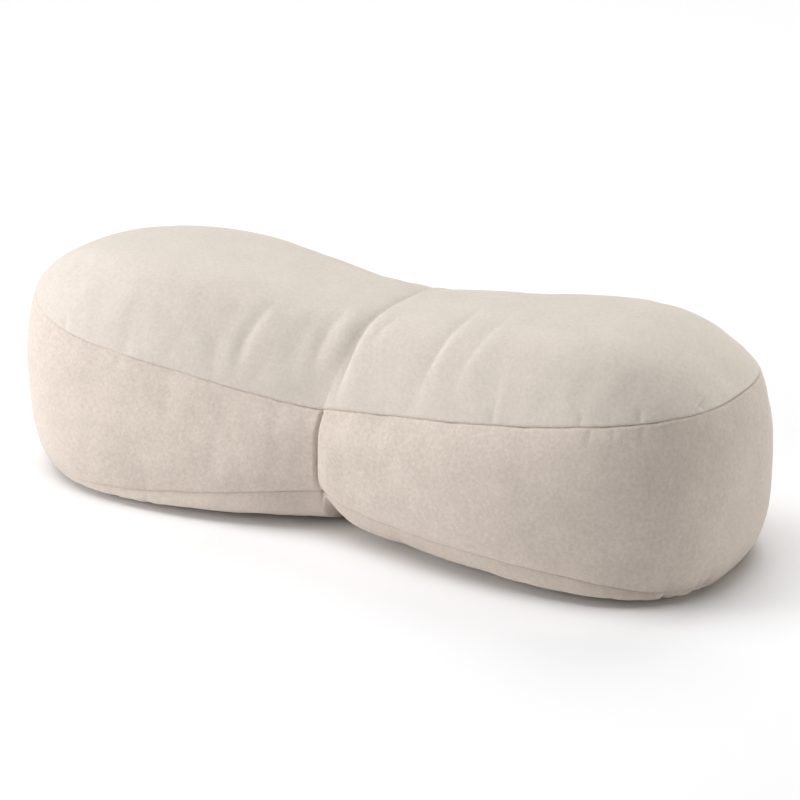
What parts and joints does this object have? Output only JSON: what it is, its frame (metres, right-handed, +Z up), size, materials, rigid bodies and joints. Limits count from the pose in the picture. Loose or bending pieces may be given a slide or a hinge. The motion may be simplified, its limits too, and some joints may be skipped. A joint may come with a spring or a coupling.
{
  "type": "neck pillow",
  "caption": "Long filled neck pillow with two round lobes and a drawn-in waist, a crowned top, a deep sewn side band and a flat base.",
  "frame": {"origin": "centre of the pillow's box, on the surface that it lies on", "axes": "+X along the pillow's length, +Z up out of its crown, -Y towards its front"},
  "size_m": [0.3832, 0.1554, 0.1134],
  "materials": {
    "top_cloth": "smooth short-napped stretch cloth, warm off-white, very matt",
    "band_cloth": "fine-grained brushed knit, a little pinker and rougher than the top",
    "base_cloth": "the same brushed knit, under the pillow"
  },
  "bodies": {
    "root": {"top_panel": "top_cloth", "side_band_left": "band_cloth", "side_band_right": "band_cloth", "base_panel": "base_cloth"}
  },
  "joints": []
}
